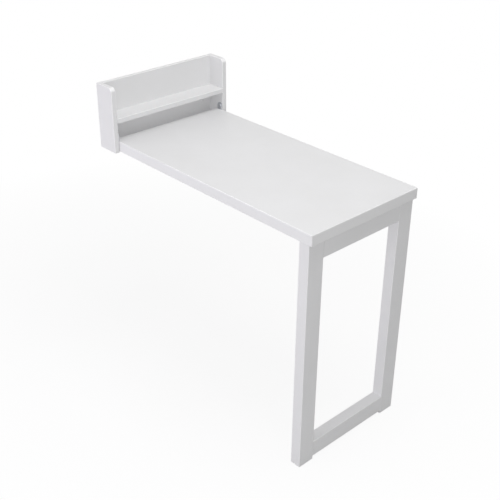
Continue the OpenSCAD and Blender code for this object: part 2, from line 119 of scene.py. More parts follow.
def moved(piece, matrix):
    """The piece moved by the matrix, with its place, turn and size in its mesh again."""
    piece.matrix_world = matrix @ piece.matrix_basis
    alone(piece)
    bpy.ops.object.transform_apply(location=True, rotation=True, scale=True)
    return piece


# %% [markdown]
# ### Primitives
# Boards start as cubes, rods and discs as cylinders, countersinks as cones. Each is added at its
# real size and place, so nothing is scaled by eye later. Its place then goes into its mesh,
# because a finished piece's object stays at the origin.

# %% Primitives at their real size and place
X, Y, Z = range(3)
SIDES, SMALL_SIDES = 48, 24   # of a large and of a small rod


def named(name):
    """The primitive just added, with its name, and its place in its mesh."""
    piece = bpy.context.object
    piece.name = name
    return moved(piece, Matrix())


def block(name, low, high):
    """A cube stretched from its lowest to its highest corner."""
    nothing_selected()
    low, high = Vector(low), Vector(high)
    bpy.ops.mesh.primitive_cube_add(size=1, location=(low + high) / 2, scale=high - low)
    return named(name)


def span(start, end):
    """The length, middle and turn of a round shape that runs from one point to another."""
    start, end = Vector(start), Vector(end)
    way = (end - start).to_track_quat("Z", "Y").to_euler()
    return {"depth": (end - start).length, "location": (start + end) / 2, "rotation": way}


def cone(name, start, end, start_radius, end_radius, sides):
    """A cone cut off flat, from one point to another."""
    nothing_selected()
    radii = {"radius1": start_radius, "radius2": end_radius}
    bpy.ops.mesh.primitive_cone_add(vertices=sides, **radii, **span(start, end))
    return named(name)


def rod(name, axis, low, high, centre, radius, sides=SIDES):
    """A cylinder along an axis, from low to high on it, round the line through the centre."""
    start, end = Vector(centre), Vector(centre)
    start[axis], end[axis] = low, high
    nothing_selected()
    bpy.ops.mesh.primitive_cylinder_add(vertices=sides, radius=radius, **span(start, end))
    return named(name)


# %% [markdown]
# ### Selecting by place
# A test says which edges or faces an operator gets. Most edges here run along one axis or lie in
# a plane, so a few small tests that can be joined pick every edge that has to be rounded. Vertex
# numbers would do too, but they change with every cut made before.

# %% Tests for edges and faces
HAIR = 0.01 * MM         # two lengths that differ by less are the same
SAME_WAY = 0.9           # least cosine between a face's normal and the way asked for


def near(a, b):
    """Whether two lengths are the same."""
    return abs(a - b) < HAIR


def along(axis):
    """A test for edges that run along an axis."""
    others = [i for i in (X, Y, Z) if i != axis]
    return lambda a, b: all(near(a[i], b[i]) for i in others)


def across(axis):
    """A test for edges whose two ends lie at one place on an axis."""
    return lambda a, b: near(a[axis], b[axis])


def at(axis, place):
    """A test for edges that lie at this place on an axis."""
    return lambda a, b: near(a[axis], place) and near(b[axis], place)


def every(*tests):
    """A test that asks for all of these."""
    return lambda a, b: all(test(a, b) for test in tests)


def looking(x, y, z):
    """A test for faces that look this way."""
    return lambda normal: normal.dot(Vector((x, y, z))) > SAME_WAY


# %% [markdown]
# ### Edit mode
# Rounding is Blender's bevel operator on chosen edges, and pulling a shape out of a face is its
# extrude operator. Both work on the selection in edit mode. A bevel modifier could round whole
# boards at once, but it would round the ends that are butted against another board as well.

# %% Selections and operators in edit mode
def into_edit_mode(piece, kind):
    """The piece's mesh, open in edit mode with nothing selected."""
    alone(piece)
    bpy.ops.object.mode_set(mode="EDIT")
    bpy.ops.mesh.select_mode(type=kind)
    bpy.ops.mesh.select_all(action="DESELECT")
    return bmesh.from_edit_mesh(piece.data)


def pick_edges(piece, test):
    """Selects the edges whose two ends pass the test, and counts them."""
    mesh = into_edit_mode(piece, "EDGE")
    for edge in mesh.edges:
        edge.select_set(test(edge.verts[0].co, edge.verts[1].co))
    bmesh.update_edit_mesh(piece.data)
    return sum(edge.select for edge in mesh.edges)


def pick_faces(piece, test):
    """Selects the faces whose normal passes the test."""
    mesh = into_edit_mode(piece, "FACE")
    for face in mesh.faces:
        face.select_set(test(face.normal))
    bmesh.update_edit_mesh(piece.data)


def done():
    """Back to object mode."""
    bpy.ops.object.mode_set(mode="OBJECT")


def round_edges(piece, test, radius, steps=4):
    """Rounds the edges that pass the test."""
    found = pick_edges(piece, test)
    bpy.ops.mesh.bevel(offset=radius, segments=steps, profile=0.5, affect="EDGES", clamp_overlap=True)
    done()
    return found


def pull(x, y, z):
    """Extrudes the selected face by this way."""
    bpy.ops.mesh.extrude_region_move(TRANSFORM_OT_translate={"value": (x, y, z)})


# %% [markdown]
# ### Cuts
# A hole is drilled with a boolean modifier that is applied at once, as a modeller would do it.
# Each cutting tool runs a millimetre past the face that it cuts: where two faces lie in one
# plane, the solver leaves slivers there, and they show as smears of light.

# %% Cut, fuse and soften
PAST = 1 * MM            # how far a tool runs past the face that it cuts
SHARP_FROM = 40          # degrees between two faces


def boolean(piece, operation, tools):
    """Takes other shapes out of the piece, or joins them to it, and uses them up."""
    for tool in tools:
        alone(piece)
        change = piece.modifiers.new("change", "BOOLEAN")
        change.operation = operation
        change.solver = "EXACT"
        change.object = tool
        bpy.ops.object.modifier_apply(modifier=change.name)
        bpy.data.objects.remove(tool)


def cut(piece, *tools):
    """Takes each tool's shape out of the piece."""
    boolean(piece, "DIFFERENCE", tools)


def fuse(piece, *others):
    """Joins other shapes to the piece as one closed skin."""
    boolean(piece, "UNION", others)


def soften(piece, width, steps=1):
    """Breaks every sharp corner, with a bevel modifier that is applied at once."""
    alone(piece)
    change = piece.modifiers.new("soften", "BEVEL")
    change.width = width
    change.segments = steps
    change.limit_method = "ANGLE"
    change.angle_limit = math.radians(SHARP_FROM)
    bpy.ops.object.modifier_apply(modifier=change.name)


# %% [markdown]
# ### Copies
# Screws, cams, hinges and everything with a left and a right hand is modelled once. A linked
# duplicate would share its mesh, but each piece here is exported by itself, so a copy gets a
# mesh of its own. A mirrored mesh is inside out until its normals are recalculated.

# %% Copies and mirrored copies
DOUBLE = 0.001 * MM      # two points that are closer are one point


def copy_of(piece, name, matrix):
    """A copy with its own mesh, moved by the matrix."""
    twin = piece.copy()
    twin.data = piece.data.copy()
    twin.name = name
    scene.collection.objects.link(twin)
    return moved(twin, matrix)


def turn_out(piece):
    """Merges doubles and makes every face point outwards."""
    alone(piece)
    bpy.ops.object.mode_set(mode="EDIT")
    bpy.ops.mesh.select_all(action="SELECT")
    bpy.ops.mesh.remove_doubles(threshold=DOUBLE)
    bpy.ops.mesh.dissolve_degenerate(threshold=DOUBLE)
    bpy.ops.mesh.select_all(action="SELECT")
    bpy.ops.mesh.normals_make_consistent(inside=False)
    done()


def mirrored(piece, name):
    """The other hand of a piece, turned over the plane X = 0."""
    twin = copy_of(piece, name, Matrix.Scale(-1, 4, (1, 0, 0)))
    turn_out(twin)
    return twin


# %% [markdown]
# ### Handing a piece over
# A finished piece is shaded smooth over its rounds, and a weighted normal modifier keeps its big
# faces flat right up to them. Shading it all flat would show the steps of each round. Then the
# piece takes the place of its CAD node and rides on the body that carries it.

# %% Finish a piece
SMOOTH_BELOW = 32        # degrees between two faces


def counted(piece):
    """Prints how many faces a piece has, and passes it on."""
    print(piece.name, "faces", len(piece.data.polygons))
    return piece


def finish(piece, body, slot, *nodes):
    """Shades the piece, gives it the finish of its slot and hands it over to a CAD body."""
    turn_out(piece)
    bpy.ops.object.shade_smooth_by_angle(angle=math.radians(SMOOTH_BELOW))
    flat = piece.modifiers.new("flat faces", "WEIGHTED_NORMAL")
    flat.keep_sharp = True
    bpy.ops.object.modifier_apply(modifier=flat.name)
    piece.data.materials.clear()
    piece.data.materials.append(FINISHES[slot])
    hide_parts(*nodes)
    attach(piece, body)
    piece.select_set(False)
    return piece


def both_hands(piece, name, body, slot, *nodes):
    """Finishes a right-hand piece and a mirrored copy, for one node or for a right and a left one."""
    twin = mirrored(piece, name)
    finish(piece, body, slot, nodes[0])
    finish(twin, body, slot, nodes[-1])


# %% [markdown]
# ## Effects that several materials share
# A clean white board is never one flat colour. Its skin has a faint pebble from the press, its
# arrises carry a painted highlight, a lighter colour where light would catch the rounds, and dust
# settles on what faces up. Each effect is a node group, so it is built once and used with other values.
# Image textures could do the same, but they would tie the finish to a file and to one scale.

# %% A node group and its sockets
def new_group(name, inputs, outputs):
    """An empty shader node group, what is given to it, and what it has to put out."""
    group = bpy.data.node_groups.new(name, "ShaderNodeTree")
    for label, value in inputs.items():
        socket = group.interface.new_socket(label, in_out="INPUT", socket_type="NodeSocketFloat")
        socket.default_value = value
    for label in outputs:
        group.interface.new_socket(label, in_out="OUTPUT", socket_type="NodeSocketFloat")
    given = group.nodes.new("NodeGroupInput").outputs
    result = group.nodes.new("NodeGroupOutput").inputs
    return group, given, result


def feed(tree, socket, value):
    """Gives a socket a value or the output of another node."""
    if isinstance(value, bpy.types.NodeSocket):
        tree.links.new(value, socket)
    else:
        socket.default_value = value


def add_node(tree, kind, **inputs):
    """A node with its inputs fed by name, where an underscore stands for a space."""
    node = tree.nodes.new("ShaderNode" + kind)
    for label, value in inputs.items():
        feed(tree, node.inputs[label.replace("_", " ")], value)
    return node


def math_node(tree, operation, *values, kind="Math", result="Value"):
    """A Math or Vector Math node with its inputs fed in order, and its result."""
    node = add_node(tree, kind)
    node.operation = operation
    for socket, value in zip(node.inputs, values):
        feed(tree, socket, value)
    return node.outputs[result]


def ramp(tree, value, low, high, new_low=0.0, new_high=1.0):
    """Turns low..high into new_low..new_high with a Map Range node, and stops at the ends."""
    ends = {"From_Min": low, "From_Max": high, "To_Min": new_low, "To_Max": new_high}
    return add_node(tree, "MapRange", Value=value, **ends).outputs["Result"]


def noise(tree, scale, detail=2.0, roughness=0.5, stretch=(1, 1, 1)):
    """Noise in the piece's own metres, stretched along an axis if asked."""
    place = add_node(tree, "TexCoord").outputs["Object"]
    place = add_node(tree, "Mapping", Vector=place, Scale=stretch).outputs[0]
    node = add_node(tree, "TexNoise", Vector=place, Scale=scale, Detail=detail, Roughness=roughness)
    return node.outputs[0]


# %% [markdown]
# ### Edge mask
# Plating wears where two faces meet. The Bevel node gives the normal that a rounded edge would
# have, so where it differs from the true normal there is an edge near. Painting vertex colours
# would need a dense mesh, and this works on any small fitting.

# %% Edge mask group
group, given, result = new_group("edge_mask", {"Reach": 0.002, "Breakup": 300.0}, ["Mask"])
soft = add_node(group, "Bevel", Radius=given["Reach"])
soft.samples = 6
true = add_node(group, "NewGeometry").outputs["Normal"]
alike = math_node(group, "DOT_PRODUCT", soft.outputs[0], true, kind="VectorMath")
away = ramp(group, alike, 0.99, 0.86)   # from 8 to 31 degrees off
uneven = ramp(group, noise(group, given["Breakup"], 3.0, 0.6), 0.35, 0.6, 0.55, 1.0)
feed(group, result["Mask"], math_node(group, "MULTIPLY", away, uneven))
print("group", group.name)

# %% [markdown]
# ### Arris mask
# The boards are square to the axes, so their arrises are where the normal lies between two
# axes. One minus the normal's largest part is nought on every flat face and highest in the
# middle of a round. It reads the piece's own normal, so it holds when the table is folded.

# %% Arris mask group
group, given, result = new_group("arris_mask", {"Breakup": 160.0}, ["Mask"])
normal = add_node(group, "TexCoord").outputs["Normal"]
positive = math_node(group, "ABSOLUTE", normal, kind="VectorMath", result="Vector")
parts = add_node(group, "SeparateXYZ", Vector=positive).outputs
largest = math_node(group, "MAXIMUM", parts["X"], parts["Y"])
largest = math_node(group, "MAXIMUM", largest, parts["Z"])
turned = ramp(group, math_node(group, "SUBTRACT", 1.0, largest), 0.005, 0.10)   # 6 to 26 degrees
uneven = ramp(group, noise(group, given["Breakup"], 3.0, 0.6), 0.3, 0.6, 0.7, 1.0)
feed(group, result["Mask"], math_node(group, "MULTIPLY", turned, uneven))
print("group", group.name)

# %% [markdown]
# ### Dust
# Dust lies on what faces up, in soft drifts. The mask is the upward part of the normal times a
# broad and a fine noise. Modelled specks would be heavy and never fine enough.

# %% Dust group
group, given, result = new_group("settled_dust", {"Drift": 7.0, "Speck": 900.0}, ["Mask"])
normal = add_node(group, "NewGeometry").outputs["Normal"]
upwards = add_node(group, "SeparateXYZ", Vector=normal).outputs["Z"]
level = ramp(group, upwards, 0.6, 0.95)   # from 53 to 18 degrees of slope
drift = ramp(group, noise(group, given["Drift"], 3.0), 0.38, 0.7)
speck = ramp(group, noise(group, given["Speck"], 1.0), 0.52, 0.72, 0.25, 1.0)
drifts = math_node(group, "MULTIPLY", level, drift)
feed(group, result["Mask"], math_node(group, "MULTIPLY", drifts, speck))
print("group", group.name)

# %% [markdown]
# ### Pressed skin
# Melamine and foil take a fine pebble from the press plate, about half a millimetre across, and
# a very faint cloudiness. One output is the height of the pebble, the other the cloudy tone.

# %% Pressed skin group
PEBBLE_IN_TONE = 0.3     # share of the pebble in the cloudy tone
group, given, result = new_group("pressed_skin", {"Pebble": 1800.0, "Cloud": 9.0}, ["Height", "Tone"])
pebble = noise(group, given["Pebble"], 1.5, 0.4)
cloud = noise(group, given["Cloud"], 4.0, 0.55)
feed(group, result["Height"], ramp(group, pebble, 0.3, 0.7))
most = math_node(group, "MULTIPLY", cloud, 1 - PEBBLE_IN_TONE)
rest = math_node(group, "MULTIPLY", pebble, PEBBLE_IN_TONE)
feed(group, result["Tone"], ramp(group, math_node(group, "ADD", most, rest), 0.35, 0.65))
print("group", group.name)

# %% [markdown]
# ### Drawn or brushed lines
# Rolled and plated steel shows fine lines along the way it was drawn, and cut wood shows its
# grain the same way. Both are noise that is stretched along one axis of the piece.

# %% Line group
LINE_STRETCH = (0.04, 1, 1)   # drawn out 25 times along X
group, given, result = new_group("lines_along_x", {"Fineness": 900.0, "Patch": 60.0}, ["Line", "Patch"])
line = noise(group, given["Fineness"], 4.0, 0.6, LINE_STRETCH)
feed(group, result["Line"], ramp(group, line, 0.3, 0.7))
feed(group, result["Patch"], ramp(group, noise(group, given["Patch"], 2.0), 0.35, 0.65))
print("group", group.name)

# %% [markdown]
# ## Materials
# The Principled BSDF stays in each material, and numbers that are the same all over are set on
# its own sockets. Only what changes over the surface is linked.

# %% Start of a material, and its colour, roughness and relief
def new_material(name, **values):
    """A material with its Principled BSDF, whose uniform numbers are given by name."""
    material = bpy.data.materials.new(name)
    material.use_nodes = True
    tree = material.node_tree
    shader = next(n for n in tree.nodes if n.type == "BSDF_PRINCIPLED")
    for label, value in values.items():
        shader.inputs[label].default_value = value
    return material, tree, shader


def use_group(tree, name, **values):
    """Places a group in a material with its own values, and gives what it puts out."""
    node = add_node(tree, "Group")
    node.node_tree = bpy.data.node_groups[name]
    for label, value in values.items():
        node.inputs[label].default_value = value
    return node.outputs


def blend_colour(tree, factor, first, second):
    """A colour that goes from first to second as the factor goes from 0 to 1."""
    node = add_node(tree, "Mix")
    node.data_type = "RGBA"
    tree.links.new(factor, node.inputs[0])
    for socket, value in zip((node.inputs[6], node.inputs[7]), (first, second)):
        feed(tree, socket, (*value, 1) if isinstance(value, tuple) else value)
    return node.outputs[2]


def cover(tree, shader, colour, rough, height, strength, depth):
    """Links a colour, a roughness, and a fine relief from a height between 0 and 1."""
    tree.links.new(colour, shader.inputs["Base Color"])
    tree.links.new(rough, shader.inputs["Roughness"])
    bump = add_node(tree, "Bump", Strength=strength, Distance=depth, Height=height)
    tree.links.new(bump.outputs[0], shader.inputs["Normal"])


# %% [markdown]
# ### White boards and their bands
# The faces are a satin white laminate. The bands are smooth plastic of the same white, a little
# glossier. Two materials could be built by hand, but one function with other numbers keeps the
# two whites matched.

# %% White board and band materials
DUST_COLOUR, DUST_SHARE = (0.60, 0.57, 0.52), 0.10
DUST_DULLS, ARRIS_SHINES = 0.15, 0.12   # how much they change the roughness
PEBBLE_STRENGTH = 0.4


def white_finish(name, clean, cloudy, arris_highlight, satin, pebble, depth):
    """A white skin, with its clean and cloudy colours, the painted highlight colour of its arrises, and
    its lowest and highest roughness.
    """
    material, tree, shader = new_material(name, IOR=1.46)
    surface = use_group(tree, "pressed_skin", Pebble=pebble)
    edge = use_group(tree, "arris_mask")["Mask"]
    dusty = use_group(tree, "settled_dust")["Mask"]
    colour = blend_colour(tree, surface["Tone"], clean, cloudy)
    # Painted highlight: the arrises are lightened towards a near-white colour where light would catch
    # them.
    colour = blend_colour(tree, edge, colour, arris_highlight)
    some_dust = math_node(tree, "MULTIPLY", dusty, DUST_SHARE)
    colour = blend_colour(tree, some_dust, colour, DUST_COLOUR)
    rough = ramp(tree, surface["Tone"], 0.0, 1.0, *satin)
    rough = math_node(tree, "ADD", rough, math_node(tree, "MULTIPLY", dusty, DUST_DULLS))
    rough = math_node(tree, "SUBTRACT", rough, math_node(tree, "MULTIPLY", edge, ARRIS_SHINES))
    cover(tree, shader, colour, rough, surface["Height"], PEBBLE_STRENGTH, depth)
    return material


# The arris colours given last are painted highlights, lighter than the face colours.
laminate = white_finish(
    "white_laminate", clean=(0.800, 0.800, 0.806), cloudy=(0.782, 0.782, 0.786), arris_highlight=(0.95, 0.95, 0.955),
    satin=(0.40, 0.48), pebble=1800.0, depth=0.06 * MM,
)
banding = white_finish(
    "white_banding", clean=(0.820, 0.820, 0.825), cloudy=(0.812, 0.812, 0.816), arris_highlight=(0.86, 0.86, 0.865),
    satin=(0.34, 0.40), pebble=2600.0, depth=0.03 * MM,
)
print("materials", laminate.name, banding.name)

# %% [markdown]
# ### Zinc-plated steel
# The hinges, plates and screws are bright zinc over steel, with fine drawn lines, cloudy patches
# and edges that are rubbed brighter. A plain grey metal would look like plastic foil.

# %% Steel
ZINC, ZINC_CLOUDY, ZINC_RUBBED = (0.62, 0.63, 0.65), (0.54, 0.56, 0.60), (0.74, 0.74, 0.75)
WORN_EDGE = {"Reach": 0.5 * MM, "Breakup": 1500.0}

steel, tree, shader = new_material("zinc_steel", Metallic=1.0)
grain = use_group(tree, "lines_along_x", Fineness=2200.0)
edge = use_group(tree, "edge_mask", **WORN_EDGE)["Mask"]
colour = blend_colour(tree, grain["Patch"], ZINC, ZINC_CLOUDY)
colour = blend_colour(tree, edge, colour, ZINC_RUBBED)
rough = ramp(tree, grain["Line"], 0.0, 1.0, 0.26, 0.42)
cover(tree, shader, colour, rough, grain["Line"], 0.15, 0.02 * MM)
print("material", steel.name)

# %% [markdown]
# ### Nylon
# Bushes, washers and glides are moulded in undyed nylon, a warm, slightly waxy white. It shares
# the pressed skin of the boards at a finer scale, so no new pattern is needed.

# %% Nylon
WAXY, WAXY_CLOUDY, WAXY_RUBBED = (0.78, 0.77, 0.73), (0.72, 0.71, 0.66), (0.84, 0.83, 0.80)

nylon, tree, shader = new_material("natural_nylon", IOR=1.53)
surface = use_group(tree, "pressed_skin", Pebble=3200.0, Cloud=80.0)
edge = use_group(tree, "edge_mask", **WORN_EDGE)["Mask"]
colour = blend_colour(tree, surface["Tone"], WAXY, WAXY_CLOUDY)
colour = blend_colour(tree, edge, colour, WAXY_RUBBED)
rough = ramp(tree, surface["Tone"], 0.0, 1.0, 0.42, 0.55)
cover(tree, shader, colour, rough, surface["Height"], 0.1, 0.02 * MM)
print("material", nylon.name)

# %% [markdown]
# ### Beech
# The dowels are beech, straight-grained along their length, which is X here. The same stretched
# lines as on the steel, wider apart and in two browns, give the grain.

# %% Beech
PALE_WOOD, DARK_GRAIN, PALE_PATCH = (0.66, 0.44, 0.26), (0.50, 0.31, 0.17), (0.72, 0.52, 0.33)
PATCH_SHARE = 0.35

beech, tree, shader = new_material("beech_wood", IOR=1.45)
grain = use_group(tree, "lines_along_x", Fineness=1600.0, Patch=140.0)
colour = blend_colour(tree, grain["Line"], PALE_WOOD, DARK_GRAIN)
some_patch = math_node(tree, "MULTIPLY", grain["Patch"], PATCH_SHARE)
colour = blend_colour(tree, some_patch, colour, PALE_PATCH)
rough = ramp(tree, grain["Line"], 0.0, 1.0, 0.55, 0.7)
cover(tree, shader, colour, rough, grain["Line"], 0.3, 0.05 * MM)
print("material", beech.name)

# %% [markdown]
# ### The CAD nodes
# Every CAD node gets its real finish too, so what isn't modelled again below is right as it is.
# The kind of finish follows from the kind of piece, and that stands in its name.

# %% Materials on the CAD nodes
FINISHES = {
    "white_board": laminate,
    "white_edge_band": banding,
    "zinc_steel": steel,
    "natural_nylon": nylon,
    "beech": beech,
}
KINDS = (
    ("white_edge_band", ("band",)),
    ("beech", ("dowels",)),
    ("natural_nylon", ("bushes", "washers", "glides")),
    ("zinc_steel", ("cam", "screws", "hanger", "plate", "pins", "leaf")),
    ("white_board", ("",)),
)

for name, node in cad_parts.items():
    slot = next(slot for slot, words in KINDS if any(word in name for word in words))
    node.data.materials.clear()
    node.data.materials.append(FINISHES[slot])
print("finished", len(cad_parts), "CAD nodes")

# %% [markdown]
# ## Screws
# Every screw here is countersunk, with a cross in its head. It starts as a thin cylinder, the
# head. Its lower face is scaled to the shank's size, which makes the cone, then extruded to the
# shank and once more to the point. The cross is cut last. A screw could be spun from a profile
# as well, but extruding shows each part of it. The hole that it fills is made the same way.

# %% Sizes of the screws
FIT = 0.1 * MM           # play of a fitting in its hole or pocket
SCREWS = {               # in mm: radius, whole length, radius and height of the head
    "wall": (2.65, 14, 4.9, 2.5),
    "hanger": (1.5, 9, 3, 1.5),
    "shelf": (2, 40, 4, 2),
    "strap": (2, 16, 4, 2),
    "hinge": (1.75, 14, 3.2, 1.5),
}


def facing(axis, degrees, x, y, z):
    """A place for a screw, which points to -Z until it is turned about one axis."""
    return Matrix.Translation((x, y, z)) @ Matrix.Rotation(math.radians(degrees), 4, axis)


print("kinds of screws", *SCREWS)

# %% [markdown]
# ### One screw
# The head's lower face is selected by its normal. Extruding leaves the new face selected, so the
# scale that follows acts on that face alone. The cross is two blocks with a smaller floor, as
# the punch that presses it has.

# %% Countersunk screw
SCREW_SIDES = 32
POINT_L = 1.5            # length of the point, in shank radii
POINT_END = 0.2          # end of the point against the shank
CROSS_ARM, CROSS_HALF = 0.55, 0.11   # reach and half width of an arm, in head radii
CROSS_DEPTH = 0.8        # in head heights
CROSS_TAPER = 0.7        # floor of the cross against its mouth
SCREW_EDGE = 0.06 * MM


def scale_face(piece, test, share):
    """Scales the face that passes the test about its own middle, and leaves it selected."""
    pick_faces(piece, test)
    bpy.ops.transform.resize(value=(share, share, 1))


def make_screw(kind):
    """A screw along -Z with its head's face at z = 0."""
    radius, length, head_r, head_h = [v * MM for v in SCREWS[kind]]
    screw = rod("screw", Z, -head_h, 0, (0, 0, 0), head_r, SCREW_SIDES)
    scale_face(screw, looking(0, 0, -1), radius / head_r)
    point = POINT_L * radius
    pull(0, 0, head_h + point - length)
    pull(0, 0, -point)
    bpy.ops.transform.resize(value=(POINT_END, POINT_END, 1))
    done()
    arm, half = CROSS_ARM * head_r, CROSS_HALF * head_r
    for x, y in ((arm, half), (half, arm)):
        cross = block("cross", (-x, -y, -CROSS_DEPTH * head_h), (x, y, PAST))
        scale_face(cross, looking(0, 0, -1), CROSS_TAPER)
        done()
        cut(screw, cross)
    soften(screw, SCREW_EDGE)
    return screw


# %% [markdown]
# ### Its hole, and its copies
# The hole is the screw's own outline, a tenth of a millimetre wider all round, so a screw never
# touches the skin round it. A hole cut with the screw itself would leave two faces in one place.

# %% Its hole, and copies of it
def screw_hole(kind, place):
    """The room for a screw as a cutting tool, whose cone runs on past the head's face."""
    radius, length, head_r, head_h = [v * MM for v in SCREWS[kind]]
    mouth = head_r + (head_r - radius) / head_h * PAST
    tool = cone("hole", (0, 0, PAST), (0, 0, -head_h), mouth + FIT, radius + FIT, SCREW_SIDES)
    pick_faces(tool, looking(0, 0, -1))
    pull(0, 0, head_h - length - FIT)
    done()
    return moved(tool, place)


def drill(piece, kind, places):
    """Cuts the hole of a screw at each place."""
    for place in places:
        cut(piece, screw_hole(kind, place))


def place_screws(kind, name, node, body, places):
    """Copies a screw to each place, and throws the model away."""
    screw = make_screw(kind)
    for number, place in enumerate(places, 1):
        finish(copy_of(screw, f"{name}_{number}", place), body, "zinc_steel", node)
    bpy.data.objects.remove(screw)
    print(name, len(places))


# %% [markdown]
# ## The rack
# The side panels are 15 mm boards with a 14 mm round at the top front corner and softened
# arrises. A cube is stretched to the board, the corner is beveled once with many steps, then the
# arrises of both faces with few. The rear edges stay sharp against the wall, as on the real one.

# %% Side panels
CORNER_ROUND, CORNER_STEPS = 14 * MM, 12
ARRIS = 1.5 * MM
RACK_FITTINGS = ("rack_dowels", "rack_cam_bolts")
bush_low, bush_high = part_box("pivot_bushes")
pivot = (bush_low + bush_high) / 2   # on the axis that the tabletop turns about


def make_room(piece, *nodes):
    """Cuts the room of CAD fittings. Each tool is a copy whose triangles are merged into one skin."""
    for node in nodes:
        tool = bpy.data.objects.new(node + "_tool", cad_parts[node].data.copy())
        scene.collection.objects.link(tool)
        turn_out(tool)
        bpy.ops.mesh.customdata_custom_splitnormals_clear()
        cut(piece, tool)


def turned_radius(low, high):
    """The radius of turned pieces, from the width of their box on Y."""
    return (high.y - low.y) / 2


low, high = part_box("side_panel_right")
panel = block("rack_side_right", low, high)
round_edges(panel, every(at(Y, low.y), at(Z, high.z)), CORNER_ROUND, CORNER_STEPS)
rear = at(Y, high.y)
print("arris edges", round_edges(panel, lambda a, b: near(a.x, b.x) and not rear(a, b), ARRIS))
cut(panel, rod("hole", X, low.x - PAST, bush_high.x, pivot, turned_radius(bush_low, bush_high)))
make_room(panel, *RACK_FITTINGS)
both = ("side_panel_right", "side_panel_left")
both_hands(counted(panel), "rack_side_left", "rack", "white_board", *both)

# %% [markdown]
# ### Back panel
# The back panel and the shelf fill the space between the sides. The back panel is screwed to the
# wall through two countersunk holes. Its rear, which faces the wall, has the pockets of the cam
# locks and of two keyhole hangers. Drawing these as dark patches would do for one photograph,
# but a hole that is cut looks right from every side.

# %% Places of the fittings in the rack
HANDS = (-1, 1)                        # left, then right
HOLE_GAP = 330 * MM
SHELF_SCREW_X = 100 * MM
CAM_IN = 24 * MM                       # cam centre from the board's end
BACK_CAM_LOW, BACK_CAM_HIGH = 22 * MM, 55 * MM
HANGER_X, HANGER_SCREW_X = 150 * MM, 21 * MM
back_low, back_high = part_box("back_panel")
shelf_low, shelf_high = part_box("rack_shelf")
hanger_low, hanger_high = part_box("wall_hanger_plates")
hanger_z = (hanger_low.z + hanger_high.z) / 2
shelf_z = (shelf_low.z + shelf_high.z) / 2

wall_screws = [facing("X", 90, side * HOLE_GAP / 2, back_low.y, 0) for side in HANDS]
shelf_screws = [facing("X", -90, side * SHELF_SCREW_X, 0, shelf_z) for side in HANDS]
hanger_screws = [
    facing("X", -90, side * HANGER_X + step, 0, hanger_z)
    for side in HANDS for step in (-HANGER_SCREW_X, HANGER_SCREW_X)
]
back_cams = [
    (side * (back_high.x - CAM_IN), z)
    for side in HANDS for z in (back_low.z + BACK_CAM_LOW, back_high.z - BACK_CAM_HIGH)
]
print("rack screws", len(wall_screws + shelf_screws + hanger_screws), "back cams", len(back_cams))

# %% [markdown]
# ### Hanger shapes
# A keyhole is a round hole for a screw's head with a narrow slot above it for its neck. One
# function makes it for the plate and, a little larger, for the hollow behind the plate. The
# plate's outline is made the same way, once as the plate and once as its pocket.

# %% Shapes of the hangers
KEYHOLE_R, SLOT_R, KEYHOLE_RISE = 4.5 * MM, 2.3 * MM, 8 * MM
RELIEF_GROW, RELIEF_DEPTH = 1 * MM, 7 * MM
HANGER_ROUND, HANGER_STEPS = 2 * MM, 5


def keyhole(x, depth, grow):
    """The shape of a keyhole as a cutting tool: a round hole, and a narrow slot above it."""
    top = hanger_z + KEYHOLE_RISE
    radius = SLOT_R + grow
    tool = rod("keyhole", Y, -depth, PAST, (x, 0, hanger_z), KEYHOLE_R + grow)
    slot = block("slot", (x - radius, -depth, hanger_z), (x + radius, PAST, top))
    fuse(tool, slot, rod("slot end", Y, -depth, PAST, (x, 0, top), radius))
    return tool


def hanger_blank(name, x, rear, grow):
    """The outline of a hanger plate with its corners rounded, up to a place behind the rack."""
    half = hanger_high.x - HANGER_X + grow
    low = (x - half, hanger_low.y, hanger_low.z - grow)
    plate = block(name, low, (x + half, rear, hanger_high.z + grow))
    round_edges(plate, along(Y), HANGER_ROUND + grow, HANGER_STEPS)
    return plate


# %% [markdown]
# ### Cutting the back panel
# The panel is made in the order a workshop would follow: arrises first, then wall holes, cam
# pockets, hanger pockets, and the holes of screws, dowels and bolts. Each tool is used up by its
# cut, so nothing has to be cleared away.

# %% Back panel
BACK_CAM_R, BACK_CAM_H = 6 * MM, 8.8 * MM

panel = block("rack_back", back_low, back_high)
round_edges(panel, along(X), ARRIS)
drill(panel, "wall", wall_screws)
for x, z in back_cams:
    cut(panel, rod("cam pocket", Y, -BACK_CAM_H - FIT, PAST, (x, 0, z), BACK_CAM_R + FIT))
for x in (-HANGER_X, HANGER_X):
    cut(panel, hanger_blank("plate pocket", x, PAST, FIT), keyhole(x, RELIEF_DEPTH, RELIEF_GROW))
drill(panel, "hanger", hanger_screws)
drill(panel, "shelf", shelf_screws)
make_room(panel, *RACK_FITTINGS)
finish(counted(panel), "rack", "white_board", "back_panel")

# %% [markdown]
# ### Shelf
# The shelf is one board, flush with the rack's front, and only its front arrises are rounded.
# Its cam pockets are underneath, where nobody looks, so it is cut like the back panel.

# %% Shelf
SHELF_CAM_R, SHELF_CAM_H = 7.5 * MM, 12 * MM
shelf_y = (shelf_low.y + shelf_high.y) / 2
shelf_cams = [shelf_low.x + CAM_IN, shelf_high.x - CAM_IN]

shelf = block("rack_shelf_board", shelf_low, shelf_high)
round_edges(shelf, every(along(X), at(Y, shelf_low.y)), ARRIS)
bottom, top = shelf_low.z - PAST, shelf_low.z + SHELF_CAM_H + FIT
for x in shelf_cams:
    cut(shelf, rod("cam pocket", Z, bottom, top, (x, shelf_y, 0), SHELF_CAM_R + FIT))
drill(shelf, "shelf", shelf_screws)
make_room(shelf, *RACK_FITTINGS)
finish(counted(shelf), "rack", "white_board", "rack_shelf")

# %% [markdown]
# ### Cam locks
# A cam lock is a zinc disc that pulls a bolt tight when it is turned with a screwdriver. Its
# face shows a cross, a raised rim and the slot for the bolt at its side. One is modelled for
# each size at the origin, by insetting and lowering the face, then copied to its places.

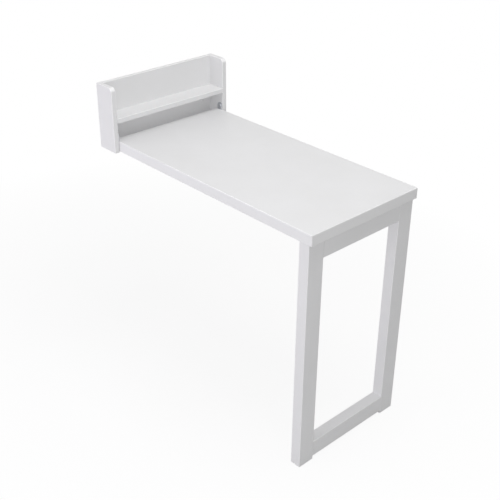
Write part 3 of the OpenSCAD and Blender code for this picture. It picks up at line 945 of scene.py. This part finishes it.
# %% Cam locks
CAM_CROSS = (7 * MM, 1.2 * MM, 1.2 * MM)   # length, width and depth
CAM_RIM = 0.7 * MM
CAM_SUNK = 0.3 * MM
CAM_EDGE = 0.1 * MM
SHELF_BOLT_R, BACK_BOLT_R = 3.3 * MM, 2.3 * MM   # of the slots for the bolts


def make_cam(radius, height, slot_r):
    """A cam disc that stands on z = 0 with its face down, and its bolt slot towards +X."""
    cam = rod("cam", Z, 0, height, (0, 0, 0), radius)
    pick_faces(cam, looking(0, 0, -1))
    bpy.ops.mesh.inset(thickness=CAM_RIM)
    bpy.ops.transform.translate(value=(0, 0, CAM_SUNK))
    done()
    length, width, depth = CAM_CROSS
    for x, y in ((length / 2, width / 2), (width / 2, length / 2)):
        cut(cam, block("cross", (-x, -y, -PAST), (x, y, depth)))
    middle = (0, 0, height / 2 + CAM_SUNK)
    cut(cam, rod("bolt slot", X, 0, radius + PAST, middle, slot_r, SMALL_SIDES))
    soften(cam, CAM_EDGE)
    return cam


shelf_cam = make_cam(SHELF_CAM_R, SHELF_CAM_H, SHELF_BOLT_R)
back_cam = make_cam(BACK_CAM_R, BACK_CAM_H, BACK_BOLT_R)
spots = [(shelf_cam, x, Matrix.Translation((x, shelf_y, shelf_low.z))) for x in shelf_cams]
spots += [(back_cam, x, facing("X", 90, x, 0, z)) for x, z in back_cams]
for number, (cam, x, place) in enumerate(spots, 1):
    outwards = Matrix.Rotation(0 if x > 0 else math.pi, 4, "Z")
    finish(copy_of(cam, f"cam_lock_{number}", place @ outwards), "rack", "zinc_steel", "rack_cam_locks")
for cam in (shelf_cam, back_cam):
    bpy.data.objects.remove(cam)
print("cam locks", len(spots))

# %% [markdown]
# ### Keyhole hangers and the rack's screws
# Each hanger is a steel plate let into the panel, flush with its rear, so the rack can be hooked
# over two screw heads before it is fixed. Stamped plates have rounded corners and a broken edge,
# which a bevel modifier gives once the keyhole is cut.

# %% Keyhole hangers, and screws in the rear of the rack
THROUGH = 3 * MM         # more than the plate is thick
HANGER_EDGE = 0.15 * MM

for name, x in (("hanger_plate_left", -HANGER_X), ("hanger_plate_right", HANGER_X)):
    hanger = hanger_blank(name, x, 0, 0)
    cut(hanger, keyhole(x, THROUGH, 0))
    drill(hanger, "hanger", hanger_screws)
    soften(hanger, HANGER_EDGE)
    finish(counted(hanger), "rack", "zinc_steel", "wall_hanger_plates")

place_screws("hanger", "hanger_screw", "wall_hanger_screws", "rack", hanger_screws)
place_screws("shelf", "shelf_screw", "shelf_screws", "rack", shelf_screws)

# %% [markdown]
# ## The tabletop
# A laminated board with a 2 mm plastic band glued round it. The bands are as thick as their
# round, so the shape reads as one slab with soft edges and a hairline seam. It could be five
# separate boxes, but the corners would then have to be matched by hand. Here one slab is
# rounded on every edge and sawn up: each piece is a copy of it, cut by the seam planes.

# %% Slab with all its edges rounded
BAND, BAND_STEPS = 2 * MM, 5
board_low, board_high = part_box("tabletop_board")
slab_low = Vector((board_low.x - BAND, board_low.y - BAND, board_low.z))
slab_high = Vector((board_high.x + BAND, board_high.y + BAND, board_high.z))
slab = block("slab", slab_low, slab_high)
print("slab edges rounded", round_edges(slab, lambda a, b: True, BAND, BAND_STEPS))

# %% [markdown]
# ### Board and bands
# Bisect cuts a mesh by a plane and can fill the cut, which is what a saw does. Each seam's edges
# are then broken by a hair, so the seam shows as a fine line and not as one smooth skin.

# %% Saw the slab into the board and its bands
SEAM = 0.15 * MM         # the arris of a seam, only just broken
LEFT = ((board_low.x, 0, 0), (-1, 0, 0))
RIGHT = ((board_high.x, 0, 0), (1, 0, 0))
FREE_END = ((0, board_low.y, 0), (0, -1, 0))
REAR = ((0, board_high.y, 0), (0, 1, 0))


def beyond(plane):
    """The same plane, seen from its other side."""
    point, normal = plane
    return point, tuple(-n for n in normal)


def sawn(name, *planes):
    """A copy of the slab that keeps what lies behind each plane, with its seam edges broken."""
    piece = copy_of(slab, name, Matrix())
    for point, normal in planes:
        into_edit_mode(piece, "FACE")
        bpy.ops.mesh.select_all(action="SELECT")
        bpy.ops.mesh.bisect(plane_co=point, plane_no=normal, use_fill=True, clear_outer=True)
        done()
    turn_out(piece)
    for point, normal in planes:
        axis = next(i for i in (X, Y, Z) if normal[i])
        round_edges(piece, at(axis, point[axis]), SEAM, 1)
    return counted(piece)


board = sawn("top_board", LEFT, RIGHT, FREE_END, REAR)
band_left = sawn("top_band_left", beyond(LEFT), FREE_END, REAR)
band_right = sawn("top_band_right", beyond(RIGHT), FREE_END, REAR)
finish(sawn("top_band_free_end", beyond(FREE_END)), "tabletop", "white_edge_band", "edge_band_free_end")
finish(sawn("top_band_rear", beyond(REAR)), "tabletop", "white_edge_band", "edge_band_rear")
bpy.data.objects.remove(slab)

# %% [markdown]
# ### Pivots
# The tabletop hangs between the rack's sides on two steel straps. Each is let into the side
# edge and rises past the top as an ear, with a riveted pin that turns in a nylon bush. The
# strap is a cube whose four corners are rounded by half its width, which gives round ends. The
# same cube, a little larger, cuts its pocket.

# %% Pivot straps and their pockets
STRAP_SCREW_DROP = (6.5 * MM, 17.5 * MM)
STRAP_END_STEPS = 16
ALMOST = 0.999           # a round of the whole half width would make its ends meet
STRAP_EDGE = 0.2 * MM
PIN_R = 4 * MM
strap_low, strap_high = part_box("pivot_plate_right")
strap_screws = [
    facing("Y", side * 90, side * strap_high.x, pivot.y, board_high.z - drop)
    for side in HANDS for drop in STRAP_SCREW_DROP
]


def strap_blank(name, inner_x, outer_x, grow):
    """A strap with round ends between two places on X."""
    low, high = sorted((inner_x, outer_x))
    half = (strap_high.y - strap_low.y) / 2 + grow
    bottom, top = strap_low.z - grow, strap_high.z + grow
    strap = block(name, (low, pivot.y - half, bottom), (high, pivot.y + half, top))
    round_edges(strap, along(X), half * ALMOST, STRAP_END_STEPS)
    return strap


strap = strap_blank("pivot_strap_right", strap_low.x, strap_high.x, 0)
cut(strap, rod("pin hole", X, strap_low.x - PAST, strap_high.x + PAST, pivot, PIN_R))
drill(strap, "strap", strap_screws)
soften(strap, STRAP_EDGE, 2)
both = ("pivot_plate_right", "pivot_plate_left")
both_hands(counted(strap), "pivot_strap_left", "tabletop", "zinc_steel", *both)
place_screws("strap", "strap_screw", "pivot_plate_screws", "tabletop", strap_screws)

# %% [markdown]
# ### Pockets in the tabletop
# The straps lie flush in the side edges, so band and board both get a pocket. The hinge screws'
# pilot holes are cut with copies of the CAD screws, which already stand in the right places.

# %% Pockets and holes in the tabletop
for side, band in zip(HANDS, (band_left, band_right)):
    for piece in (board, band):
        cut(piece, strap_blank("pocket", side * strap_low.x, side * (strap_high.x + PAST), FIT))
drill(board, "strap", strap_screws)
make_room(board, "top_hinge_screws")

finish(counted(board), "tabletop", "white_board", "tabletop_board")
finish(counted(band_left), "tabletop", "white_edge_band", "edge_band_left")
finish(counted(band_right), "tabletop", "white_edge_band", "edge_band_right")

# %% [markdown]
# ### Pins, washers and bushes
# The pin's flat head is riveted behind the ear, and a thin washer keeps the ear off the side
# panel. All three are turned parts, so they are cylinders with rounded or broken rims.

# %% Riveted pins, washers and bushes
RIVET_H, RIVET_ROUND = 2 * MM, 1.2 * MM
SHANK_IN = RIVET_H / 4   # how deep the shank starts in the head
PIN_TIP = 0.5 * MM
RING_EDGE = 0.1 * MM


def make_ring(name, node, inner_x):
    """A washer or bush: a cylinder with a hole for the pin, its rims just broken."""
    low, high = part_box(node)
    ring = rod(name, X, inner_x, high.x, pivot, turned_radius(low, high))
    cut(ring, rod("hole", X, inner_x - PAST, high.x + PAST, pivot, PIN_R + FIT / 2))
    soften(ring, RING_EDGE)
    return counted(ring)


low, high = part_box("pivot_pins")
head = strap_low.x - RIVET_H
pin = rod("pivot_pin_right", X, head, strap_low.x, pivot, turned_radius(low, high))
round_edges(pin, at(X, head), RIVET_ROUND)
fuse(pin, rod("shank", X, strap_low.x - SHANK_IN, high.x, pivot, PIN_R))
round_edges(pin, at(X, high.x), PIN_TIP, 2)
both_hands(counted(pin), "pivot_pin_left", "tabletop", "zinc_steel", "pivot_pins")

washer = make_ring("pivot_washer_right", "pivot_washers", strap_high.x)
both_hands(washer, "pivot_washer_left", "tabletop", "natural_nylon", "pivot_washers")
bush = make_ring("pivot_bush_right", "pivot_bushes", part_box("side_panel_right")[0].x)
both_hands(bush, "pivot_bush_left", "rack", "natural_nylon", "pivot_bushes")
print("pivot axis at", [round(v / MM, 2) for v in (pivot.y, pivot.z)])

# %% [markdown]
# ## The leg frame
# Two posts and two rails of the same section, with the rails butted between the posts. Each
# long arris is rounded, so a fine groove shows at every joint, as in the photograph. One welded
# outline would be simpler, but it would lose those grooves.

# %% Posts and rails
GLIDE_STEM_R = 2 * MM
POST_END = 0.3 * MM      # the broken edge of a post's sawn end
glide_low, glide_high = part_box("foot_glides")
post_low, post_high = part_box("leg_post_right")
glide_at = ((post_low.x + post_high.x) / 2, (glide_low.y + glide_high.y) / 2, 0)

post = block("frame_post_right", post_low, post_high)
round_edges(post, along(Z), ARRIS)
for end in (post_low.z, post_high.z):
    round_edges(post, at(Z, end), POST_END, 1)
cut(post, rod("stem hole", Z, post_low.z - PAST, glide_high.z, glide_at, GLIDE_STEM_R + FIT))
make_room(post, "leg_dowels")
both = ("leg_post_right", "leg_post_left")
both_hands(counted(post), "frame_post_left", "leg_frame", "white_board", *both)

for name, node, fittings in (
    ("frame_rail_top", "leg_top_rail", ("leg_dowels", "leg_hinge_screws")),
    ("frame_rail_bottom", "leg_bottom_rail", ("leg_dowels",)),
):
    rail = block(name, *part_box(node))
    round_edges(rail, along(X), ARRIS)
    make_room(rail, *fittings)
    finish(counted(rail), "leg_frame", "white_board", node)

# %% [markdown]
# ### Foot glides
# A nail-in glide is a disc with a rounded lower edge under each post, and a stem that goes up
# into it. The stem is extruded from the disc's upper face after an inset.

# %% Foot glides
GLIDE_R = turned_radius(glide_low, glide_high)
GLIDE_ROUND = 0.9 * MM

glide = rod("foot_glide_right", Z, glide_low.z, post_low.z, glide_at, GLIDE_R)
round_edges(glide, at(Z, glide_low.z), GLIDE_ROUND)
pick_faces(glide, looking(0, 0, 1))
bpy.ops.mesh.inset(thickness=GLIDE_R - GLIDE_STEM_R)
pull(0, 0, glide_high.z - post_low.z)
done()
both_hands(counted(glide), "foot_glide_left", "leg_frame", "natural_nylon", "foot_glides")

# %% [markdown]
# ### Butt hinges
# Two steel butt hinges join the frame to the tabletop. A leaf is a plate with its free corners
# rounded, and its knuckles are the plate rolled round the pin. The knuckles are fused on as
# cylinders, the other leaf's knuckle gets its notch, and the holes are countersunk. Both leaves
# are modelled round an axis at the origin, then copied to the two hinges.

# %% Measures of a hinge, taken from the frame
LEAF_T, PART_GAP = 1.5 * MM, 0.3 * MM
HINGE_PIN_R = 1.5 * MM
HOLE_IN = 8 * MM         # outer screw holes from the leaf's ends
OUTER_REACH, MIDDLE_REACH = 16 * MM, 20 * MM   # screw holes from the hinge's axis
leaf_low, leaf_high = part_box("top_hinge_leaf_right")
pins_low, pins_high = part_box("leg_hinge_pins")
hinge_x = (leaf_low.x + leaf_high.x) / 2
hinge_y, hinge_z = (pins_low.y + pins_high.y) / 2, (pins_low.z + pins_high.z) / 2
hinge_half = (leaf_high.x - leaf_low.x) / 2
knuckle_r = hinge_z - leaf_low.z
knuckle_l = (2 * hinge_half - 2 * PART_GAP) / 3
leaf_off = leaf_high.z - hinge_z
leaf_l = leaf_high.y - hinge_y
outer_x = hinge_half - HOLE_IN
LEAF_HOLES = ((-outer_x, OUTER_REACH), (0, MIDDLE_REACH), (outer_x, OUTER_REACH))
print("hinge", [round(v / MM, 2) for v in (hinge_x, hinge_y, hinge_z, knuckle_r, knuckle_l, leaf_l)])

# %% [markdown]
# ### The two leaves
# The leaf under the tabletop has the two outer knuckles, and the leaf on the rail the middle
# one. Both come from one function, with the knuckles and notches as its values.

# %% Leaves
LEAF_ROUND, LEAF_STEPS = 2.5 * MM, 6
KNUCKLE_SIDES = 40
LEAF_EDGE = 0.12 * MM


def along_hinge(name, low, high, radius, sides):
    """A rod on the hinge's axis, which runs along X through the origin here."""
    return rod(name, X, low, high, (0, 0, 0), radius, sides)


def make_leaf(name, knuckles, notches, pin_r):
    """A leaf that lies above the axis and reaches to +Y, its screws' heads facing down."""
    below = leaf_off - LEAF_T
    leaf = block(name, (-hinge_half, 0, below), (hinge_half, leaf_l, leaf_off))
    round_edges(leaf, every(along(Z), at(Y, leaf_l)), LEAF_ROUND, LEAF_STEPS)
    fuse(leaf, *[along_hinge("knuckle", a, b, knuckle_r, KNUCKLE_SIDES) for a, b in knuckles])
    reach = knuckle_r + PART_GAP
    cut(leaf, *[block("notch", (a, -reach, -reach), (b, reach, leaf_off + PAST)) for a, b in notches])
    cut(leaf, along_hinge("pin hole", -hinge_half - PAST, hinge_half + PAST, pin_r, SMALL_SIDES))
    drill(leaf, "hinge", [facing("X", 180, x, y, below) for x, y in LEAF_HOLES])
    soften(leaf, LEAF_EDGE)
    return counted(leaf)


middle, beyond_end = knuckle_l / 2, hinge_half + PAST
outer_knuckles = [(-hinge_half, knuckle_l - hinge_half), (hinge_half - knuckle_l, hinge_half)]
middle_notch = [(-middle - PART_GAP, middle + PART_GAP)]
outer_notches = [(-beyond_end, -middle), (middle, beyond_end)]
top_leaf = make_leaf("top leaf", outer_knuckles, middle_notch, HINGE_PIN_R)
rail_leaf = make_leaf("rail leaf", [(-middle, middle)], outer_notches, HINGE_PIN_R + FIT / 2)

# %% [markdown]
# ### Hanging the hinges
# The rail's leaf is modelled lying down and turned to hang behind the rail. The turn is joined
# with a flip, so its screw heads face the rack. The pin is a rod with rounded ends.

# %% Hinges
HANG = Matrix.Rotation(math.radians(-90), 4, "X") @ Matrix.Scale(-1, 4, (0, 0, 1))
HINGE_PIN_ROUND = 0.4 * MM


def place_hinge(side, hand):
    """Both leaves and the pin of one hinge."""
    axis = Vector((side * hinge_x, hinge_y, hinge_z))
    place = Matrix.Translation(axis)
    piece = copy_of(top_leaf, "hinge_leaf_top_" + hand, place)
    finish(piece, "tabletop", "zinc_steel", "top_hinge_leaf_" + hand)
    piece = copy_of(rail_leaf, "hinge_leaf_rail_" + hand, place @ HANG)
    finish(piece, "leg_frame", "zinc_steel", "leg_hinge_leaf_" + hand)
    low, high = axis.x - hinge_half, axis.x + hinge_half
    pin = rod("hinge_pin_" + hand, X, low, high, axis, HINGE_PIN_R, SMALL_SIDES)
    round_edges(pin, across(X), HINGE_PIN_ROUND, 2)
    finish(pin, "tabletop", "zinc_steel", "leg_hinge_pins")


for side, hand in zip(HANDS, ("left", "right")):
    place_hinge(side, hand)
for leaf in (top_leaf, rail_leaf):
    bpy.data.objects.remove(leaf)
print("hinges", len(HANDS))

# %% [markdown]
# ### Leaf screws
# Three countersunk screws to a leaf, their places taken from the leaf's own holes, so they can't
# drift apart when a measure of the hinge changes.

# %% Screws in the leaves
top_screws, rail_screws = [], []
for x, y in [(side * hinge_x + x, y) for side in HANDS for x, y in LEAF_HOLES]:
    top_screws.append(facing("X", 180, x, hinge_y + y, hinge_z + leaf_off - LEAF_T))
    rail_screws.append(facing("X", -90, x, hinge_y - leaf_off + LEAF_T, hinge_z - y))
place_screws("hinge", "hinge_screw_top", "top_hinge_screws", "tabletop", top_screws)
place_screws("hinge", "hinge_screw_rail", "leg_hinge_screws", "leg_frame", rail_screws)

# %% [markdown]
# ## Light and floor
# The photograph has a white background. Its light is soft and comes from above the free end and
# from the left, and every shaded face is still open. So one softbox hangs above, three stand to
# the left, and a dim sky does the rest. More lamps could chase single tones, but each would add
# a shadow of its own. The background is white by its colour alone: Light Path tells the
# camera's rays from the light.

# %% Sky
SKY_FILL = 0.44
WHITE = (1, 1, 1, 1)


def rays_that_see(tree):
    """1 for rays that show a thing to the camera, straight or in a shiny surface, and else 0."""
    path = add_node(tree, "LightPath").outputs
    seen = math_node(tree, "MAXIMUM", path["Is Camera Ray"], path["Is Glossy Ray"])
    return math_node(tree, "MAXIMUM", seen, path["Is Transmission Ray"])


def mix_shaders(tree, factor, first, second, output):
    """Mixes two shaders into an output."""
    mix = add_node(tree, "MixShader")
    for socket, value in zip(mix.inputs, (factor, first.outputs[0], second.outputs[0])):
        tree.links.new(value, socket)
    tree.links.new(mix.outputs[0], output.inputs["Surface"])


scene.world = bpy.data.worlds.new("studio")
scene.world.use_nodes = True
tree = scene.world.node_tree
sky = tree.nodes["Background"]
feed(tree, sky.inputs["Color"], WHITE)
feed(tree, sky.inputs["Strength"], SKY_FILL)
white = add_node(tree, "Background", Color=WHITE)
mix_shaders(tree, rays_that_see(tree), sky, white, tree.nodes["World Output"])
print("sky fill", SKY_FILL)

# %% [markdown]
# ### Lamps
# Softboxes are square area lamps. Their places were chosen to fit the photograph's shadows, and
# their strengths were solved from the tones of its faces, one lamp at a time, because light adds
# up. They stay hidden from the camera.

# %% Lamps
LAMPS = {                # place, aim, side, watts and colour
    "softbox_above": ((0, -0.85, 1.9), (0, -0.4, 0), 1.0, 18.0, (1.0, 1.0, 1.0)),
    "softbox_left": ((-2.2, -0.4, 0.1), (0, -0.4, -0.2), 1.6, 8.6, (0.95, 0.925, 1.0)),
    "softbox_left_rear": ((-1.8, 0.4, 0.3), (0, -0.4, -0.2), 1.4, 8.5, (0.95, 0.925, 1.0)),
    "softbox_left_front": ((-1.2, -2.0, 0.6), (0, -0.4, 0), 1.2, 6.9, (1.0, 1.0, 1.0)),
}


def make_lamp(name, place, aim, side, watts, colour):
    light = bpy.data.lights.new(name, "AREA")
    light.shape = "SQUARE"
    light.size = side
    light.energy = watts
    light.color = colour
    lamp = bpy.data.objects.new(name, light)
    scene.collection.objects.link(lamp)
    way = (Vector(aim) - Vector(place)).to_track_quat("-Z", "Y").to_matrix().to_4x4()
    lamp.matrix_world = Matrix.Translation(place) @ way
    lamp.visible_camera = False


for name, values in LAMPS.items():
    make_lamp(name, *values)
print("lamps", list(LAMPS))

# %% [markdown]
# ### Floor
# The floor is a wide plain sheet. To the camera it is mostly its own white, and a share of it is
# lit paper, so the faint shadow under the frame stays. The share fades with distance, so that
# the floor meets the white sky without a line. The light meets a greyer paper than the camera
# sees, because a white floor would light the table too much from below.

# %% Floor
FLOOR_RADIUS, FLOOR_SIDES = 40, 96   # metres, and corners
FLOOR_MIDDLE_Y = -0.4    # metres from the wall, under the middle of the table
LIT_SHARE = 0.14
FADE_FROM, FADE_TO = 0.9, 1.6   # metres from the middle
PAPER_SEEN = (0.96, 0.96, 0.96), (0.94, 0.94, 0.94)
PAPER_LIT = (0.62, 0.62, 0.62), (0.60, 0.60, 0.60)

nothing_selected()
middle = (0, FLOOR_MIDDLE_Y, cad_box[0].z)
bpy.ops.mesh.primitive_circle_add(
    vertices=FLOOR_SIDES, radius=FLOOR_RADIUS, fill_type="NGON", location=middle
)
floor = named("floor")
paper, tree, shader = new_material("floor_paper", Roughness=0.9)
mottle = ramp(tree, noise(tree, 3.0, 4.0), 0.3, 0.7)
seen = rays_that_see(tree)
papers = [blend_colour(tree, mottle, *pair) for pair in (PAPER_LIT, PAPER_SEEN)]
tree.links.new(blend_colour(tree, seen, *papers), shader.inputs["Base Color"])
place = add_node(tree, "TexCoord").outputs["Object"]
distance = math_node(tree, "LENGTH", place, kind="VectorMath")
lit = ramp(tree, distance, FADE_FROM, FADE_TO, LIT_SHARE, 0.0)
whiteness = math_node(tree, "MULTIPLY", seen, math_node(tree, "SUBTRACT", 1.0, lit))
output = next(n for n in tree.nodes if n.type == "OUTPUT_MATERIAL")
mix_shaders(tree, whiteness, shader, add_node(tree, "Emission", Color=WHITE), output)
floor.data.materials.append(paper)
floor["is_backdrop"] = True
print("stage", floor.name)

# %% [markdown]
# ## Measure
# The visual model should have the CAD model's size. The difference between the two boxes is printed.

# %% Sizes and end
visual_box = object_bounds()
grown = (visual_box[1] - visual_box[0] - cad_box[1] + cad_box[0]) / MM
print("visual minus CAD size in mm", [round(g, 3) for g in grown])
